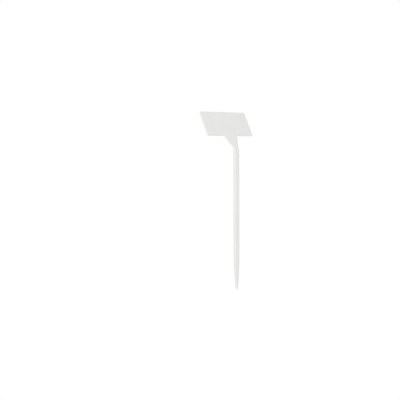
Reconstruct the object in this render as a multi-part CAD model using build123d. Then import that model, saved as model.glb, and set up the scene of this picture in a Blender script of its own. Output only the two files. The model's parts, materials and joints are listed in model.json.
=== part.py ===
from build123d import *
import os
from math import cos, radians, sin, tan

# A plant label stake: a tilted writing panel on a channel-shaped stem that ends in a spike.
# It stands along +Z with the middle of its spike's tip at the origin. X runs across the label, the
# writing side faces -Y, and the head leans back towards +Y. Lengths are millimetres and angles degrees.
# Each wall of the moulding is a solid of its own, and neighbours meet face to face.

# Label panel, with a rim turned back round its edge
panel_width = 76.0
panel_height = 42.0
panel_thickness = 1.4
panel_corner_radius = 1.4
panel_lean = 34.0  # back from upright
rim_wall = 1.1
rim_depth = 2.8  # from the writing face to the back of the rim
rim_inner_radius = 0.3

# Neck, which bends back out of the stem and widens up to the panel while its sides grow shallower
neck_lean = 41.0  # back from upright, a little more than the panel
bend_radius = 8.0  # of the front face
bend_stations = 7  # sections that the bend is lofted through
neck_length = 24.5  # from the end of the bend to the panel
neck_depth = 2.6  # at the end of the bend
neck_top_width = 22.0
neck_top_depth = 1.8

# Stem, a channel that is open at the back, with its sides splayed so that stakes nest
stem_length = 200.0  # from the tip to the bend
stem_width = 6.6  # of the front face
stem_depth = 4.2
wall = 1.1
flange_splay = 18.0
front_edge_radius = 1.4  # along both sides of the front face

# Spike, the tapered lower stretch of the stem, with a solid point
spike_length = 50.0
point_length = 10.0
tip_width = 2.2
tip_depth = 1.7
tip_edge_radius = 0.4  # round the blunt end of the point
spike_stations = 6  # sections that each stretch of the spike is lofted through

slope = tan(radians(flange_splay))
flange_across = wall / cos(radians(flange_splay))  # a flange's thickness, measured along X


# Sections of the walls, for a channel with a front face of that half-width and of that depth.
# The front face lies on a plane's y = 0, and a flange stands on the back of the web, on y = wall.


def web(half_width, depth):
    root = half_width + wall * slope
    return [(-half_width, 0), (half_width, 0), (root, wall), (-root, wall)]


def right_flange(half_width, depth):
    root, edge = half_width + wall * slope, half_width + depth * slope
    return [(root, wall), (edge, depth), (edge - flange_across, depth), (root - flange_across, wall)]


def left_flange(half_width, depth):
    return [(-x, y) for x, y in right_flange(half_width, depth)]


def filled_channel(half_width, depth):
    edge = half_width + depth * slope
    return [(-half_width, 0), (half_width, 0), (edge, depth), (-edge, depth)]


def section(plane, outline):
    """Face of an outline on a plane. The corners at the sides of a front face are rounded, as far
    as half of that face and the side of the web leave room."""
    face = make_face(Polyline(*outline, close=True))
    front_corners = [corner for corner in face.vertices() if abs(corner.Y) < wall / 100]
    if front_corners:
        room = 0.9 * min(abs(front_corners[0].X), wall / cos(radians(flange_splay)))
        face = fillet(front_corners, min(front_edge_radius, room / tan(radians(45 - flange_splay / 2))))
    return plane * face


# The spike and the stem, with the middle of their channel on the Z axis


def level_section(outline, half_width, depth, z):
    return section(Plane((0, -depth / 2, z)), outline(half_width, depth))


def spike_size(z):
    """Half-width and depth of the channel at a height on the spike, which swells as an ogive."""
    share = 1 - (1 - z / spike_length) ** 2
    half_width = (tip_width + (stem_width - tip_width) * share) / 2
    return half_width, tip_depth + (stem_depth - tip_depth) * share


def spike_loft(bottom, top, outline):
    step = (top - bottom) / (spike_stations - 1)
    heights = [bottom + i * step for i in range(spike_stations)]
    return loft([level_section(outline, *spike_size(z), z) for z in heights])


def spike_point():
    point = spike_loft(0, point_length, filled_channel)
    return fillet(point.edges().group_by(Axis.Z)[0], tip_edge_radius)


def spike_wall(outline):
    """A wall of the hollow stretch of the spike, above its solid point."""
    return spike_loft(point_length, spike_length, outline)


def stem_wall(outline):
    """A wall of the straight stem, from the spike up to the bend."""
    foot = level_section(outline, stem_width / 2, stem_depth, spike_length)
    return extrude(foot, stem_length - spike_length)


# The neck: its planes run across it, square to the bend, and at its top along the panel's lower edge


def plane_across(origin, turn):
    """Plane square to a wall that leans back by that turn from upright, with the wall's back at +Y."""
    return Plane(origin=origin, x_dir=(1, 0, 0), z_dir=(0, sin(turn), cos(turn)))


def bend_plane(share):
    """Plane across the neck, that share of the way round the bend."""
    turn = radians(neck_lean) * share
    front = bend_radius * (1 - cos(turn)) - stem_depth / 2
    return plane_across((0, front, stem_length + bend_radius * sin(turn)), turn)


neck_top = bend_plane(1).offset(neck_length).origin
panel_edge = plane_across(neck_top, radians(panel_lean))


def bend_section(outline, share):
    depth = stem_depth + (neck_depth - stem_depth) * share
    return section(bend_plane(share), outline(stem_width / 2, depth))


def neck_wall(outline):
    """A wall of the neck: the bend, then a straight taper out to the panel's lower edge."""
    bend = loft([bend_section(outline, i / (bend_stations - 1)) for i in range(bend_stations)])
    panel_end = section(panel_edge, outline(neck_top_width / 2, neck_top_depth))
    return bend + loft([bend_section(outline, 1), panel_end], ruled=True)


# The panel, on its writing face: X across it, Y up it from the middle of its lower edge

writing_face = Plane(origin=neck_top, x_dir=(1, 0, 0), z_dir=-panel_edge.y_dir)
panel_middle = Pos(0, panel_height / 2)
panel_outline = panel_middle * RectangleRounded(panel_width, panel_height, panel_corner_radius)


def label_panel():
    return writing_face * extrude(panel_outline, -panel_thickness)


def panel_rim():
    inside_width, inside_height = panel_width - 2 * rim_wall, panel_height - 2 * rim_wall
    inside = panel_middle * RectangleRounded(inside_width, inside_height, rim_inner_radius)
    ring = extrude(panel_outline - inside, panel_thickness - rim_depth)
    return writing_face * Pos(0, 0, -panel_thickness) * ring


pieces = {
    "label_panel": label_panel(),
    "panel_rim": panel_rim(),
    "neck_web": neck_wall(web),
    "neck_rib_left": neck_wall(left_flange),
    "neck_rib_right": neck_wall(right_flange),
    "stem_web": stem_wall(web),
    "stem_flange_left": stem_wall(left_flange),
    "stem_flange_right": stem_wall(right_flange),
    "spike_web": spike_wall(web),
    "spike_flange_left": spike_wall(left_flange),
    "spike_flange_right": spike_wall(right_flange),
    "spike_point": spike_point(),
}

os.makedirs("parts", exist_ok=True)
for name, piece in pieces.items():
    export_step(piece.solid(), f"parts/{name}.step")
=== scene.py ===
# %% [markdown]
# # A plant label stake in white polypropylene
#
# The real stake is one thin-walled moulding: a flat writing panel with a rim behind it, a neck that
# leans back and widens, a channel-shaped stem and a pointed spike. The engineering model already has
# every wall at its place and size. This script dresses it: each wall is drawn again as a clean mesh
# with softened edges, and the plastic gets a finish that can be looked at closely.
#
# Everything is in metres, in the model's own frame: Z goes up the stem from the middle of the spike's
# tip, X across the label, and the writing side faces -Y. Small sizes are written in millimetres, times
# mm.

# %% Load the frame
import json
from math import acos, cos, degrees, radians, sin, tan

import bmesh
import bpy
from mathutils import Matrix, Vector


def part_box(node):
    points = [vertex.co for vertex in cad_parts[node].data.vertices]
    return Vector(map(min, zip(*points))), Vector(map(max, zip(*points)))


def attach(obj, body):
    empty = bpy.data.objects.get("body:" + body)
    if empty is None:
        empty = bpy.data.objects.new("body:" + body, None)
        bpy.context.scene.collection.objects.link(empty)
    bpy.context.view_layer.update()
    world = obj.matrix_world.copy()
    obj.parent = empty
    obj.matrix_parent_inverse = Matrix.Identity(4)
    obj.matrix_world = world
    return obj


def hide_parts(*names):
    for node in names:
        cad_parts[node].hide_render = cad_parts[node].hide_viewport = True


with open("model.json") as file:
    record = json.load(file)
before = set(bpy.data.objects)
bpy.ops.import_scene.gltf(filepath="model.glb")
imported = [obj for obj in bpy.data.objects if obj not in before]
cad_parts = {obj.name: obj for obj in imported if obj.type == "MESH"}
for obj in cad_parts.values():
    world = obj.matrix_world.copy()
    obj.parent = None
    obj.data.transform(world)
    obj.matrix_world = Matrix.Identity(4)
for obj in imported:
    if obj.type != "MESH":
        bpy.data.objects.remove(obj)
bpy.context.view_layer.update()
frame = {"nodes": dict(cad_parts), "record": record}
mm = 0.001
print("walls in the frame:", ", ".join(sorted(frame["nodes"])))

# %% [markdown]
# ## The camera
#
# The camera stands to the left of the label and a little lower than its panel, so the panel's long
# edges run nearly level and its short edges lean. A camera can be aimed by hand in the viewport. Here
# it goes round the stake by a distance, an azimuth and a height, because these can be adjusted one at
# a time. A lens a little longer than normal, from less than a metre away, gives the slight narrowing
# of the far end, and turning the camera a few degrees past the stake puts the stake right of the
# middle of the picture.

# %% Place the camera
camera_distance = 0.9353
camera_azimuth = radians(-31.81)
camera_height = 0.1874
turned_past = radians(3.222)
tilted_down = radians(3.50)
rolled = radians(0.33)
lens_mm = 58.5
sensor_mm = 36.0

camera_data = bpy.data.cameras.new("camera")
camera_data.lens = lens_mm
camera_data.sensor_width = sensor_mm
camera = bpy.data.objects.new("camera", camera_data)
camera.location = (
    camera_distance * sin(camera_azimuth),
    -camera_distance * cos(camera_azimuth),
    camera_height,
)
camera.rotation_euler = (radians(90) - tilted_down, rolled, camera_azimuth + turned_past)
bpy.context.scene.collection.objects.link(camera)
bpy.context.scene.camera = camera
bpy.context.scene.view_settings.view_transform = "Standard"
print("camera at", [round(value, 3) for value in camera.location])

# %% [markdown]
# ## White to the eye, grey to the stake
#
# The picture is white on white: the stake shows only because it is a little darker than what lies
# behind it. More light would turn the background white, but it would burn out the stake as well. So
# sky and floor look white to the rays that see them, from the camera, a mirror or glass, and give
# less light to all others. The Light Path node tells the rays apart, and Maximum means "any of these".

# %% Tell the rays apart
SEEING_RAYS = ("Is Camera Ray", "Is Glossy Ray", "Is Transmission Ray")


def seen_directly(tree):
    """1 for rays from the camera, a mirror or glass; 0 for rays that gather light."""
    path = tree.nodes.new("ShaderNodeLightPath")
    seen = path.outputs[SEEING_RAYS[0]]
    for ray in SEEING_RAYS[1:]:
        either = tree.nodes.new("ShaderNodeMath")
        either.operation = "MAXIMUM"
        tree.links.new(seen, either.inputs[0])
        tree.links.new(path.outputs[ray], either.inputs[1])
        seen = either.outputs[0]
    return seen


print("rays that see white:", ", ".join(SEEING_RAYS))

# %% [markdown]
# ## Sky and lamp
#
# A studio for small white goods is a tent of cloth, lit from outside. A sky of even grey light stands
# for the tent. A picture of a real studio could do so too, but it would bring reflections that the
# plain plastic doesn't show.

# %% Light the sky
sky_light = 0.87
sky_seen = 1.0

world = bpy.data.worlds.new("studio")
world.use_nodes = True
bpy.context.scene.world = world
sky = world.node_tree
backdrop = sky.nodes["Background"]
backdrop.inputs["Color"].default_value = (1, 1, 1, 1)
strength = sky.nodes.new("ShaderNodeMapRange")
strength.inputs["To Min"].default_value = sky_light
strength.inputs["To Max"].default_value = sky_seen
sky.links.new(seen_directly(sky), strength.inputs["Value"])
sky.links.new(strength.outputs["Result"], backdrop.inputs["Strength"])
print(f"sky: {sky_seen} to the eye, {sky_light} to the stake")

# %% [markdown]
# Even light alone would hide the edges of the stem, so one lamp stands low on the left. It makes the
# left sides brightest and lets the tone fall off to the right. A point or a sun would draw hard
# shadows, and a large square lamp close by gives the soft fall-off of a studio softbox.

# %% Hang the lamp
key_power = 1.8
key_size = 0.7
key_place = Vector((-0.95, -0.45, 0.22))
key_target = Vector((0, 0, 0.16))

key_data = bpy.data.lights.new("key_softbox", "AREA")
key_data.shape = "SQUARE"
key_data.size = key_size
key_data.energy = key_power
key = bpy.data.objects.new("key_softbox", key_data)
key.location = key_place
key.rotation_euler = (key_target - key_place).to_track_quat("-Z", "Y").to_euler()
bpy.context.scene.collection.objects.link(key)
print(f"lamp: {key_power} W, {(key_target - key_place).length:.2f} m from the stake")

# %% [markdown]
# ## The floor
#
# The stake stands on plain white paper. A sheet that curves up behind it could close the view, but the
# sky is white there already, so one large flat face is enough.

# %% Lay the floor
floor_half_side = 4.0

floor_mesh = bpy.data.meshes.new("floor")
bm = bmesh.new()
bmesh.ops.create_grid(bm, x_segments=1, y_segments=1, size=floor_half_side)
bm.to_mesh(floor_mesh)
bm.free()
floor = bpy.data.objects.new("floor", floor_mesh)
bpy.context.scene.collection.objects.link(floor)
print("floor:", 2 * floor_half_side, "m square")

# %% [markdown]
# To the eye the paper is nearly all white, and a small share of its own shading is left, which keeps
# the shadow under the tip. Plain white paper would come out grey in this light, and paper that only
# glows would lose the shadow, so a Mix Shader takes a share of each. The glow is a hair over 1 to make
# up for the rest, so that floor and sky meet without a line.

# %% Floor paper
paper_tone = 0.97
paper_roughness = 0.9
paper_white_share = 0.95
paper_glow = 1.01

floor_paper = bpy.data.materials.new("floor_paper")
floor_paper.use_nodes = True
paper = floor_paper.node_tree
paper_surface = paper.nodes["Principled BSDF"]
paper_surface.inputs["Base Color"].default_value = (paper_tone, paper_tone, paper_tone, 1)
paper_surface.inputs["Roughness"].default_value = paper_roughness
white_paper = paper.nodes.new("ShaderNodeEmission")
white_paper.inputs["Strength"].default_value = paper_glow
white_share = paper.nodes.new("ShaderNodeMath")
white_share.operation = "MULTIPLY"
white_share.inputs[1].default_value = paper_white_share
paper.links.new(seen_directly(paper), white_share.inputs[0])
paper_mix = paper.nodes.new("ShaderNodeMixShader")
paper.links.new(white_share.outputs[0], paper_mix.inputs["Fac"])
paper.links.new(paper_surface.outputs["BSDF"], paper_mix.inputs[1])
paper.links.new(white_paper.outputs["Emission"], paper_mix.inputs[2])
paper.links.new(paper_mix.outputs["Shader"], paper.nodes["Material Output"].inputs["Surface"])
floor_mesh.materials.append(floor_paper)
print("floor paper:", paper_white_share, "white to the eye")

# %% [markdown]
# ## The plastic
#
# Polypropylene straight from the mould is never one flat colour. Its skin carries a very fine grain
# from the etched steel, handling rubs the gloss up a little here and there, and the melt leaves wide,
# faint clouds where it flowed and cooled. Each could be painted as a picture, but noise textures stay
# sharp at any distance and need no unwrapping. They read Object coordinates in metres, and every wall
# sits at the origin, so a cloud that starts on one wall runs on across the joint into the next.
#
# Effects that both finishes share are node groups, so a few helpers for their nodes come first.

# %% Helpers for nodes
noise_low = 0.3
noise_high = 0.7


def new_group(name, inputs, outputs):
    """An empty shader node group with named number inputs, by their defaults, and number outputs."""
    group = bpy.data.node_groups.new(name, "ShaderNodeTree")
    for label, value in inputs.items():
        socket = group.interface.new_socket(label, in_out="INPUT", socket_type="NodeSocketFloat")
        socket.default_value = value
    for label in outputs:
        group.interface.new_socket(label, in_out="OUTPUT", socket_type="NodeSocketFloat")
    return group, group.nodes.new("NodeGroupInput"), group.nodes.new("NodeGroupOutput")


def feed(tree, value, socket):
    """Links another node's output to a socket, or sets the socket to a number."""
    if isinstance(value, bpy.types.NodeSocket):
        tree.links.new(value, socket)
    else:
        socket.default_value = value


def noise(tree, place, scale, detail, roughness=0.5):
    """A noise texture, read at a place."""
    texture = tree.nodes.new("ShaderNodeTexNoise")
    texture.inputs["Detail"].default_value = detail
    texture.inputs["Roughness"].default_value = roughness
    feed(tree, scale, texture.inputs["Scale"])
    feed(tree, place, texture.inputs["Vector"])
    return texture.outputs["Fac"]


def spread(tree, value, low, high):
    """Maps noise, which stays near a half, onto a range."""
    ramp = tree.nodes.new("ShaderNodeMapRange")
    ramp.inputs["From Min"].default_value = noise_low
    ramp.inputs["From Max"].default_value = noise_high
    feed(tree, low, ramp.inputs["To Min"])
    feed(tree, high, ramp.inputs["To Max"])
    feed(tree, value, ramp.inputs["Value"])
    return ramp.outputs["Result"]


print(f"noise from {noise_low} to {noise_high} is spread over a finish's range")

# %% [markdown]
# The skin has two sizes of detail. The grain is finer than half a millimetre and is felt more than
# seen, so it only tilts the surface. The rubbed patches are about a centimetre wide and change how
# glossy it is. Both come from one group, since both belong to the skin of every wall.

# %% Mould grain
rubbed_patches_per_metre = 90.0

grain_group, grain_in, grain_out = new_group(
    "mould_grain", inputs={"Grains per Metre": 2500.0}, outputs=("Height", "Gloss")
)
grain_place = grain_group.nodes.new("ShaderNodeTexCoord").outputs["Object"]
grain = noise(grain_group, grain_place, grain_in.outputs["Grains per Metre"], detail=3.0)
rubbed = noise(grain_group, grain_place, rubbed_patches_per_metre, detail=4.0, roughness=0.6)
grain_group.links.new(grain, grain_out.inputs["Height"])
grain_group.links.new(rubbed, grain_out.inputs["Gloss"])
print("node group:", grain_group.name)

# %% [markdown]
# The clouds follow the melt, which runs the length of the stake. Round clouds would look like stains,
# so a Mapping node squeezes the noise's height, and that draws the clouds out along Z.

# %% Flow clouds
clouds_per_metre = 55.0
flow_squeeze = (1.0, 1.0, 0.3)

cloud_group, cloud_in, cloud_out = new_group(
    "flow_clouds", inputs={"Darkest": 0.975, "Lightest": 1.0}, outputs=("Tone",)
)
cloud_place = cloud_group.nodes.new("ShaderNodeTexCoord").outputs["Object"]
drawn_out = cloud_group.nodes.new("ShaderNodeMapping")
drawn_out.inputs["Scale"].default_value = flow_squeeze
cloud_group.links.new(cloud_place, drawn_out.inputs["Vector"])
clouds = noise(cloud_group, drawn_out.outputs["Vector"], clouds_per_metre, detail=3.0)
tone = spread(cloud_group, clouds, cloud_in.outputs["Darkest"], cloud_in.outputs["Lightest"])
cloud_group.links.new(tone, cloud_out.inputs["Tone"])
print("node group:", cloud_group.name)

# %% [markdown]
# The whole stake is one white, a trace warmer than grey. Two finishes use it: the panel is etched
# matte so that ink takes, and the stem, neck and spike come out of polished steel with a soft satin
# sheen. One function makes both, because they differ only in gloss, grain and how far clouds darken.

# %% Finishes: matte panel and satin stem
polypropylene_white = (0.86, 0.86, 0.845)
polypropylene_ior = 1.49
grain_strength = 0.5


def white_plastic(name, gloss_range, grains_per_metre, grain_depth, darkest_cloud):
    """The stake's white plastic, with a gloss, a grain and clouds of its own."""
    material = bpy.data.materials.new(name)
    material.use_nodes = True
    tree = material.node_tree
    surface = tree.nodes["Principled BSDF"]
    surface.inputs["IOR"].default_value = polypropylene_ior

    clouds_here = tree.nodes.new("ShaderNodeGroup")
    clouds_here.node_tree = cloud_group
    clouds_here.inputs["Darkest"].default_value = darkest_cloud
    tinted = tree.nodes.new("ShaderNodeVectorMath")
    tinted.operation = "SCALE"
    tinted.inputs[0].default_value = polypropylene_white
    tree.links.new(clouds_here.outputs["Tone"], tinted.inputs["Scale"])
    tree.links.new(tinted.outputs["Vector"], surface.inputs["Base Color"])

    grain_here = tree.nodes.new("ShaderNodeGroup")
    grain_here.node_tree = grain_group
    grain_here.inputs["Grains per Metre"].default_value = grains_per_metre
    tree.links.new(spread(tree, grain_here.outputs["Gloss"], *gloss_range), surface.inputs["Roughness"])
    bump = tree.nodes.new("ShaderNodeBump")
    bump.inputs["Distance"].default_value = grain_depth
    bump.inputs["Strength"].default_value = grain_strength
    tree.links.new(grain_here.outputs["Height"], bump.inputs["Height"])
    tree.links.new(bump.outputs["Normal"], surface.inputs["Normal"])
    return material


panel_plastic = white_plastic(
    "panel_plastic", gloss_range=(0.52, 0.66), grains_per_metre=2600.0,
    grain_depth=0.02 * mm, darkest_cloud=0.975,
)
stem_plastic = white_plastic(
    "stem_plastic", gloss_range=(0.4, 0.54), grains_per_metre=1800.0,
    grain_depth=0.012 * mm, darkest_cloud=0.965,
)
print("finishes:", panel_plastic.name, stem_plastic.name)

# %% [markdown]
# ## Drawing a wall
#
# Every wall of the channel is a four-cornered section that is drawn along the stake: straight up the
# stem, round the bend, out along the neck or in towards the tip. A curve with a bevel profile could
# sweep the stem, but it keeps one section all the way, and here the section changes. So this helper
# works as a modeller does by hand: it extrudes the end of the wall and moves the new end, again and
# again. It also remembers the line that each corner leaves behind, its rail. The rails that lie free
# are softened afterwards, and the ones that meet a neighbour stay crisp and closed.

# %% A helper that draws walls


def soften_edges(bm, edges, setback, segments):
    """Rounds edges, starting at that setback from them on the faces at both sides."""
    bmesh.ops.bevel(
        bm, geom=edges, offset=setback, offset_type="OFFSET", segments=segments,
        profile=0.5, affect="EDGES", material=-1,
    )


class WallRun:
    """A wall grown from its first section by extruding its end face and moving the new end."""

    def __init__(self, corners):
        self.bm = bmesh.new()
        self.end = self.bm.faces.new([self.bm.verts.new(corner) for corner in corners])
        self.rails = [[vert] for vert in self.end.verts]

    def reach(self, corners):
        """Grows the wall on to a section with those corners."""
        grown = bmesh.ops.extrude_face_region(self.bm, geom=[self.end])["geom"]
        if len(self.rails[0]) > 1:  # the first end closes the wall, later ones lie inside it
            bmesh.ops.delete(self.bm, geom=[self.end], context="FACES_ONLY")
        self.end = next(part for part in grown if isinstance(part, bmesh.types.BMFace))
        for rail, vert, corner in zip(self.rails, self.end.verts, corners):
            vert.co = corner
            rail.append(vert)

    def soften(self, rail_numbers, setback, segments):
        """Rounds the edges along some of the rails."""
        edges = [
            self.bm.edges.get(pair)
            for number in rail_numbers
            for pair in zip(self.rails[number], self.rails[number][1:])
        ]
        soften_edges(self.bm, edges, setback, segments)


print("helper:", WallRun.__name__)

# %% [markdown]
# A finished mesh then becomes a piece. Smooth shading hides its small facets, edges that turn sharply
# stay sharp, and weighted normals keep the flat faces flat beside a rounded edge. More segments would
# do the same with many more faces. The piece takes the place of its wall in the engineering model.

# %% A helper that finishes a piece
sharp_turn = radians(40)


def add_piece(bm, name, finish):
    """Turns a bmesh into the piece that stands for the wall of that name, on the stake's one body."""
    bmesh.ops.recalc_face_normals(bm, faces=bm.faces[:])
    mesh = bpy.data.meshes.new(name)
    bm.to_mesh(mesh)
    bm.free()
    mesh.shade_smooth()
    mesh.set_sharp_from_angle(angle=sharp_turn)
    mesh.materials.append(finish)
    piece = bpy.data.objects.new(f"{name}_skin", mesh)
    bpy.context.scene.collection.objects.link(piece)
    even_shading = piece.modifiers.new("even_shading", "WEIGHTED_NORMAL")
    even_shading.keep_sharp = True
    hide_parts(name)
    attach(piece, "root")
    print(f"{name}: {len(mesh.polygons)} faces")


print(f"edges that turn more than {degrees(sharp_turn):.0f} degrees stay sharp")

# %% [markdown]
# ## Sections of the channel
#
# Across the stem the moulding is a channel: a front wall, the web, and two side walls, the flanges,
# which splay outwards so that such channels nest. A section is a list of four corners, for a front face
# of a given half-width and a channel of a given depth. A whole channel could be one section of eight
# corners, but the walls are pieces of their own, so each has its own four. They are measured from the
# middle of the front face, and the last function here puts that half the depth in front of the Z axis.

# %% Sections
wall = 1.1 * mm
flange_splay = radians(18.0)
splay_slope = tan(flange_splay)
flange_across = wall / cos(flange_splay)


def web_section(half_width, depth):
    """The front wall, which is as thick in a deep channel as in a shallow one."""
    root = half_width + wall * splay_slope
    corners = [(-half_width, 0), (half_width, 0), (root, wall), (-root, wall)]
    return [Vector((x, y, 0)) for x, y in corners]


def right_section(half_width, depth):
    root, edge = half_width + wall * splay_slope, half_width + depth * splay_slope
    corners = [(root, wall), (edge, depth), (edge - flange_across, depth), (root - flange_across, wall)]
    return [Vector((x, y, 0)) for x, y in corners]


def left_section(half_width, depth):
    return [Vector((-corner.x, corner.y, 0)) for corner in right_section(half_width, depth)]


def level_section(section, half_width, depth, height):
    """Lays a section level at that height, with the middle of its channel on the Z axis."""
    front = Vector((0, -depth / 2, height))
    return [front + corner for corner in section(half_width, depth)]


print(f"a flange is {flange_across / mm:.2f} mm across")

# %% [markdown]
# Each stretch of the stake has the same three walls, so one function draws them all: it is given a
# function that runs a section along that stretch. The two front edges of the web are rounded by as
# much as the wall is thick and more, which gives the stem its soft fall-off from light to shade. The
# setback of a rounded edge is shorter than its radius here, because the corner is wider than a square
# one. The open back edges of the flanges are only eased.

# %% Three walls for a stretch of channel
WEB_FRONT_RAILS = (0, 1)
FLANGE_BACK_RAILS = (1, 2)
front_edge_radius = 1.4 * mm
front_edge_setback = front_edge_radius * tan(radians(45) - flange_splay / 2)
front_edge_segments = 6
back_edge_radius = 0.25 * mm
back_edge_segments = 4


def add_channel(make_run, web_name, flange_name):
    """Adds the web and both flanges of a stretch, each drawn by that stretch's run."""
    web = make_run(web_section)
    web.soften(WEB_FRONT_RAILS, front_edge_setback, front_edge_segments)
    add_piece(web.bm, web_name, stem_plastic)
    for side, section in (("left", left_section), ("right", right_section)):
        flange = make_run(section)
        flange.soften(FLANGE_BACK_RAILS, back_edge_radius, back_edge_segments)
        add_piece(flange.bm, f"{flange_name}_{side}", stem_plastic)


print(f"front edges: radius {front_edge_radius / mm:.1f} mm, setback {front_edge_setback / mm:.2f} mm")

# %% [markdown]
# ## The stem
#
# The stem is the simplest run: the section goes straight up from the top of the spike to the bend, in
# one extrusion. The frame tells both heights.

# %% Stem walls
stem_half_width = 3.3 * mm
stem_depth = 4.2 * mm
spike_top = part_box("spike_web")[1].z
stem_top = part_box("stem_web")[1].z


def stem_run(section):
    run = WallRun(level_section(section, stem_half_width, stem_depth, spike_top))
    run.reach(level_section(section, stem_half_width, stem_depth, stem_top))
    return run


add_channel(stem_run, "stem_web", "stem_flange")
print(f"stem from {spike_top:.3f} to {stem_top:.3f} m")

# %% [markdown]
# ## The spike
#
# Towards the tip the channel narrows and grows shallower along a curve that starts gently and ends
# blunt. It draws in evenly from all sides, so the point lies in the middle of the stem. A straight
# taper would need one step, but it would leave a crease where it meets the stem. So the section is
# redrawn at a number of heights, closer together than the eye can tell.

# %% Spike walls
spike_steps = 24
tip_half_width = 1.1 * mm
tip_depth = 1.7 * mm
point_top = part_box("spike_point")[1].z


def spike_size(height):
    """Half-width and depth of the channel at a height on the spike."""
    share = 1 - (1 - height / spike_top) ** 2
    return (
        tip_half_width + (stem_half_width - tip_half_width) * share,
        tip_depth + (stem_depth - tip_depth) * share,
    )


def taper_run(section, bottom, top, steps):
    run = WallRun(level_section(section, *spike_size(bottom), bottom))
    for step in range(1, steps + 1):
        height = bottom + (top - bottom) * step / steps
        run.reach(level_section(section, *spike_size(height), height))
    return run


def spike_run(section):
    return taper_run(section, point_top, spike_top, spike_steps)


add_channel(spike_run, "spike_web", "spike_flange")
print(f"hollow spike from {point_top:.3f} to {spike_top:.3f} m")

# %% [markdown]
# The last centimetre is filled, because a hollow tip would fold in stony soil. It is one run of the
# channel's outline, with the same rounding in front and a blunt, rounded end.

# %% Spike point
POINT_BACK_RAILS = (2, 3)
point_steps = 8
tip_edge_radius = 0.4 * mm
tip_edge_segments = 4
tiny = 0.001 * mm


def filled_section(half_width, depth):
    edge = half_width + depth * splay_slope
    corners = [(-half_width, 0), (half_width, 0), (edge, depth), (-edge, depth)]
    return [Vector((x, y, 0)) for x, y in corners]


point = taper_run(filled_section, 0.0, point_top, point_steps)
point.soften(WEB_FRONT_RAILS, front_edge_setback, front_edge_segments)
point.soften(POINT_BACK_RAILS, back_edge_radius, back_edge_segments)
tip_edges = [edge for edge in point.bm.edges if all(vert.co.z < tiny for vert in edge.verts)]
soften_edges(point.bm, tip_edges, tip_edge_radius, tip_edge_segments)
add_piece(point.bm, "spike_point", stem_plastic)

# %% [markdown]
# ## The neck
#
# Above the stem the channel turns back round a bend and then opens out to carry the panel, which
# stands a few degrees more upright than the neck. The panel's tilt is read from the frame: it is that
# of the face that the record calls label_face, the writing side. The neck ends at the foot of it.

# %% Where the neck leads
panel_height = 42.0 * mm

label_face = next(mount for mount in frame["record"]["mounts"] if mount["name"] == "label_face")
face_normal = Vector(label_face["axis"])
behind_panel = -face_normal
panel_lean = acos(behind_panel.y)
up_the_panel = Vector((0, sin(panel_lean), cos(panel_lean)))
panel_middle = Vector(label_face["pos_m"])
panel_foot = panel_middle - up_the_panel * panel_height / 2
print(f"the panel leans back {degrees(panel_lean):.1f} degrees from {panel_foot.z:.3f} m up")

# %% [markdown]
# The bend is a turn of the section about an axis behind the stem. The spin operator makes such turns,
# but it keeps the section as it is, and here the sides grow shallower on the way. So the section is
# laid across the bend in small steps, a little shallower at each one. The taper is one more step,
# straight to the wide and almost flat section at the panel's lower edge.

# %% Neck walls
neck_lean = radians(41.0)
bend_radius = 8.0 * mm
bend_steps = 16
neck_depth = 2.6 * mm
neck_top_half_width = 11.0 * mm
neck_top_depth = 1.8 * mm
stem_front = Vector((0, -stem_depth / 2, stem_top))
bend_pivot = stem_front + Vector((0, bend_radius, 0))


def at_bend(corners, share):
    """Lays a section across the bend, that share of the way round it."""
    turn = Matrix.Rotation(-neck_lean * share, 3, "X")
    return [bend_pivot + turn @ (stem_front + corner - bend_pivot) for corner in corners]


def at_panel_edge(corners):
    """Lays a section across the top of the neck, its front corners on the writing face."""
    return [panel_foot + Vector((corner.x, 0, 0)) + behind_panel * corner.y for corner in corners]


def neck_run(section):
    run = WallRun(at_bend(section(stem_half_width, stem_depth), 0.0))
    for step in range(1, bend_steps + 1):
        share = step / bend_steps
        depth = stem_depth + (neck_depth - stem_depth) * share
        run.reach(at_bend(section(stem_half_width, depth), share))
    run.reach(at_panel_edge(section(neck_top_half_width, neck_top_depth)))
    return run


add_channel(neck_run, "neck_web", "neck_rib")

# %% [markdown]
# ## The panel
#
# The panel is a flat plate with rounded corners, lying along the writing face. It could be an extruded
# outline, but a cube squeezed to size needs no outline at all: its four short edges are bevelled to
# the corner radius. It is made lying flat, with the writing face on Z = 0, and stood up at the end.
# The rim behind it has the same outline, so a function makes the slab for both.

# %% A slab of the panel's outline
panel_width = 76.0 * mm
panel_corner_radius = 1.4 * mm
panel_corner_segments = 10

on_panel = Matrix.Translation(panel_middle) @ Matrix(
    ((1, 0, 0), (0, up_the_panel.y, face_normal.y), (0, up_the_panel.z, face_normal.z))
).to_4x4()


def rounded_slab(front, back):
    """A slab of the panel's outline between two depths, measured back from the writing face."""
    bm = bmesh.new()
    bmesh.ops.create_cube(bm, size=1.0)
    bmesh.ops.scale(bm, vec=(panel_width, panel_height, back - front), verts=bm.verts[:])
    bmesh.ops.translate(bm, vec=(0, 0, -(front + back) / 2), verts=bm.verts[:])
    short_edges = [edge for edge in bm.edges if abs(edge.verts[0].co.z - edge.verts[1].co.z) > tiny]
    soften_edges(bm, short_edges, panel_corner_radius, panel_corner_segments)
    return bm


def at_depth(part, depth):
    """True for an edge or face that lies flat at that depth."""
    return all(abs(vert.co.z + depth) < tiny for vert in part.verts)


print(f"slab: {panel_width / mm:.0f} by {panel_height / mm:.0f} mm")

# %% [markdown]
# The edge round the writing face gets a small softening, as every moulded edge has. A Bevel modifier
# could do that all the way round, but the stretch where the neck comes in stays sharp, so that the
# neck runs into the panel without a groove. Two cuts through the slab part that stretch from the rest.

# %% Panel
panel_thickness = 1.4 * mm
panel_edge_radius = 0.35 * mm
panel_edge_segments = 4
outer_turn = radians(30)

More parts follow.
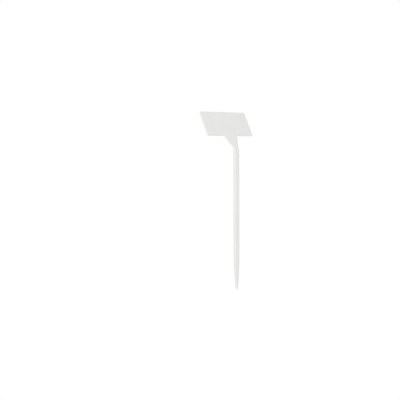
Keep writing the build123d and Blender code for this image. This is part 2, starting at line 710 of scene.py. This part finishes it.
panel = rounded_slab(0.0, panel_thickness)
neck_reach = neck_top_half_width - front_edge_setback
for x in (-neck_reach, neck_reach):
    everything = panel.verts[:] + panel.edges[:] + panel.faces[:]
    bmesh.ops.bisect_plane(panel, geom=everything, plane_co=(x, 0, 0), plane_no=(1, 0, 0), dist=tiny)


def outer_edges(bm, depth):
    """The edges at that depth that the outline turns over, not those that cross a flat face."""
    flat_edges = [edge for edge in bm.edges if at_depth(edge, depth)]
    return [edge for edge in flat_edges if edge.calc_face_angle(0.0) > outer_turn]


def meets_neck(edge):
    """True for an edge on the stretch where the neck comes in."""
    return all(abs(vert.co.x) < neck_reach + tiny and vert.co.y < 0 for vert in edge.verts)


front_edges = [edge for edge in outer_edges(panel, 0.0) if not meets_neck(edge)]
soften_edges(panel, front_edges, panel_edge_radius, panel_edge_segments)
print(f"panel: {len(front_edges)} front edges softened, {2 * neck_reach / mm:.1f} mm left for the neck")

# %% [markdown]
# The back of a moulded panel is never quite blank. The pins that push it out of the mould leave
# shallow round marks, and the gate where the plastic came in, between the two lower pins, leaves a
# small raised spot. A bump texture could suggest them, but a mark that catches the light should be a
# shape. Each mark is a disc: the back face is taken off, the discs are laid in its place, and the face
# is filled in again round them. A disc is then inset with a little depth, inwards for a pin and
# outwards for the gate.

# %% Marks on the panel's back
pin_mark_radius = 2.4 * mm
pin_mark_depth = 0.2 * mm
pin_mark_x = 26.0 * mm
pin_mark_y = 13.0 * mm
gate_radius = 1.2 * mm
gate_height = 0.3 * mm
mark_segments = 32


def lay_disc(x, y, radius):
    """Lays a disc where the panel's back face was."""
    on_back_face = Matrix.Translation((x, y, -panel_thickness))
    circle = bmesh.ops.create_circle(
        panel, cap_ends=True, segments=mark_segments, radius=radius, matrix=on_back_face
    )
    return circle["verts"][0].link_faces[0]


back_faces = [face for face in panel.faces if at_depth(face, panel_thickness)]
bmesh.ops.delete(panel, geom=back_faces, context="FACES")
pin_discs = [
    lay_disc(x, y, pin_mark_radius) for x in (-pin_mark_x, pin_mark_x) for y in (-pin_mark_y, pin_mark_y)
]
gate_disc = lay_disc(0, -pin_mark_y, gate_radius)
round_the_discs = [edge for edge in panel.edges if edge.is_boundary]
bmesh.ops.triangle_fill(panel, edges=round_the_discs, use_beauty=True, normal=(0, 0, -1))
bmesh.ops.recalc_face_normals(panel, faces=panel.faces[:])
for disc in pin_discs:
    bmesh.ops.inset_region(panel, faces=[disc], thickness=pin_mark_depth, depth=-pin_mark_depth)
bmesh.ops.inset_region(panel, faces=[gate_disc], thickness=gate_height, depth=gate_height)
bmesh.ops.transform(panel, matrix=on_panel, verts=panel.verts[:])
add_piece(panel, "label_panel", panel_plastic)

# %% [markdown]
# ## The rim
#
# A rim behind the edge keeps the thin panel flat and gives it a deep side. A Boolean could cut the
# middle out of a slab, but it leaves long thin faces. Instead the front and back faces are inset by
# the rim's width, the two middles are taken out, and a bridge closes the inner wall.

# %% Rim
rim_wall = 1.1 * mm
rim_depth = 2.8 * mm
rim_edge_segments = 3

rim = rounded_slab(panel_thickness, rim_depth)
for depth in (panel_thickness, rim_depth):
    flat_side = next(face for face in rim.faces if at_depth(face, depth))
    bmesh.ops.inset_region(rim, faces=[flat_side], thickness=rim_wall, use_even_offset=True)


def inside_rim(face):
    """True for a face that stays inside the middle line of the rim's wall."""
    half_width, half_height = (panel_width - rim_wall) / 2, (panel_height - rim_wall) / 2
    return all(abs(vert.co.x) < half_width and abs(vert.co.y) < half_height for vert in face.verts)


middles = [face for face in rim.faces if inside_rim(face)]
inner_edges = [edge for face in middles for edge in face.edges]
bmesh.ops.delete(rim, geom=middles, context="FACES_ONLY")
bmesh.ops.bridge_loops(rim, edges=inner_edges)
soften_edges(rim, outer_edges(rim, rim_depth), back_edge_radius, rim_edge_segments)
bmesh.ops.transform(rim, matrix=on_panel, verts=rim.verts[:])
add_piece(rim, "panel_rim", panel_plastic)
